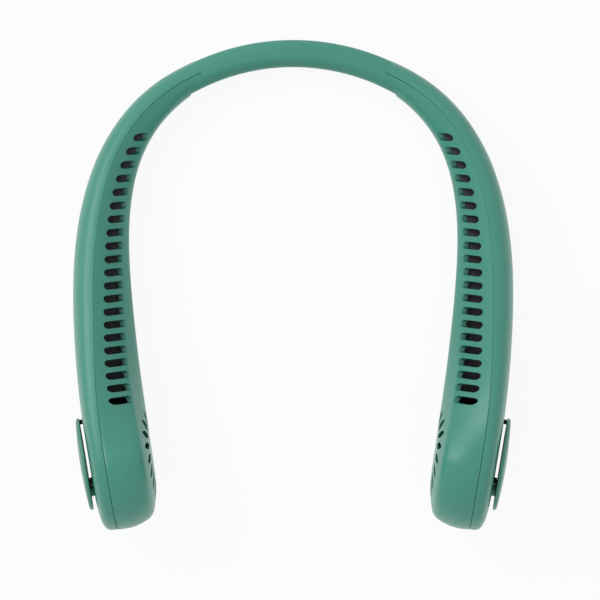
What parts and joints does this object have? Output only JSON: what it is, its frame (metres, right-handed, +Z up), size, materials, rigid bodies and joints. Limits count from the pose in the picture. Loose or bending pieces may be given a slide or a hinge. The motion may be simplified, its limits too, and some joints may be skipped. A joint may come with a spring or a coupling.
{
  "type": "electric neck fan",
  "caption": "Bladeless neck fan: a flexible band joins two hollow arms with rows of air slots, each ending in a round blower housing with an intake grille and a raised cover plate.",
  "frame": {"origin": "middle of the footprint, on the surface it rests on", "axes": "+Z up, +Y towards the neck band, +X towards the arm with the power button and charging socket"},
  "size_m": [0.2, 0.2232, 0.0636],
  "materials": {
    "arm_shell": "gloss",
    "slot_shell": "gloss",
    "cover_green": "satin",
    "band_rubber": "matte",
    "strip_steel": "satin",
    "lead_black": "matte",
    "lead_red": "matte",
    "pad_black": "matte",
    "duct_black": "matte",
    "wheel_black": "satin",
    "can_steel": "satin",
    "magnet_grey": "matte",
    "shaft_steel": "polished",
    "bearing_bronze": "satin",
    "mount_black": "matte",
    "core_steel": "satin",
    "coil_copper": "satin",
    "board_green": "satin",
    "cell_wrap": "satin",
    "screw_steel": "satin",
    "port_steel": "polished",
    "switch_black": "matte",
    "plunger_white": "matte",
    "button_green": "satin",
    "lens_white": "gloss"
  },
  "bodies": {
    "band": {"band_sleeve": "band_rubber", "band_strip": "strip_steel", "band_lead": "lead_black"},
    "arm_left": {"outer_shell_left": "arm_shell", "inner_shell_left": "slot_shell", "cover_plate_left": "cover_green", "cover_pads_left": "pad_black", "scroll_left": "duct_black", "duct_floor_left": "duct_black", "bearing_left": "bearing_bronze", "motor_mount_left": "mount_black", "stator_left": "core_steel", "windings_left": "coil_copper", "motor_board_left": "board_green", "motor_lead_left": "lead_red", "battery_cell_left": "cell_wrap", "arm_lead_left": "lead_black", "band_anchor_left": "mount_black", "shell_screws_left": "screw_steel"},
    "arm_right": {"outer_shell_right": "arm_shell", "inner_shell_right": "slot_shell", "cover_plate_right": "cover_green", "cover_pads_right": "pad_black", "scroll_right": "duct_black", "duct_floor_right": "duct_black", "bearing_right": "bearing_bronze", "motor_mount_right": "mount_black", "stator_right": "core_steel", "windings_right": "coil_copper", "motor_board_right": "board_green", "motor_lead_right": "lead_red", "battery_cell_right": "cell_wrap", "arm_lead_right": "lead_black", "band_anchor_right": "mount_black", "shell_screws_right": "screw_steel", "main_board": "board_green", "usb_port": "port_steel", "tact_switch": "switch_black", "light_lens": "lens_white"},
    "wheel_left": {"impeller_left": "wheel_black", "rotor_can_left": "can_steel", "magnet_ring_left": "magnet_grey", "motor_shaft_left": "shaft_steel"},
    "wheel_right": {"impeller_right": "wheel_black", "rotor_can_right": "can_steel", "magnet_ring_right": "magnet_grey", "motor_shaft_right": "shaft_steel"},
    "button": {"power_button": "button_green", "switch_plunger": "plunger_white"}
  },
  "joints": [
    {"name": "flex_right", "type": "hinge", "parent": "band", "child": "arm_right", "pos_m": [0.02255, 0.10291, 0.0085], "axis": [0, 0, 1], "range_deg": [-5, 14], "stiffness_Nm_per_rad": 1.6, "deforming": ["band_sleeve", "band_strip", "band_lead"]},
    {"name": "flex_left", "type": "hinge", "parent": "band", "child": "arm_left", "pos_m": [-0.02255, 0.10291, 0.0085], "axis": [0, 0, -1], "range_deg": [-5, 14], "stiffness_Nm_per_rad": 1.6, "deforming": ["band_sleeve", "band_strip", "band_lead"]},
    {"name": "wheel_spin_right", "type": "hinge", "parent": "arm_right", "child": "wheel_right", "pos_m": [0.07829, -0.07931, 0.03179], "axis": [-0.9871, 0.1599, 0], "continuous": true},
    {"name": "wheel_spin_left", "type": "hinge", "parent": "arm_left", "child": "wheel_left", "pos_m": [-0.07829, -0.07931, 0.03179], "axis": [0.9871, 0.1599, 0], "continuous": true},
    {"name": "button_press", "type": "slide", "parent": "arm_right", "child": "button", "axis": [-0.9934, 0.1143, 0], "range_m": [0, 0.0005], "stiffness_N_per_m": 1200}
  ]
}
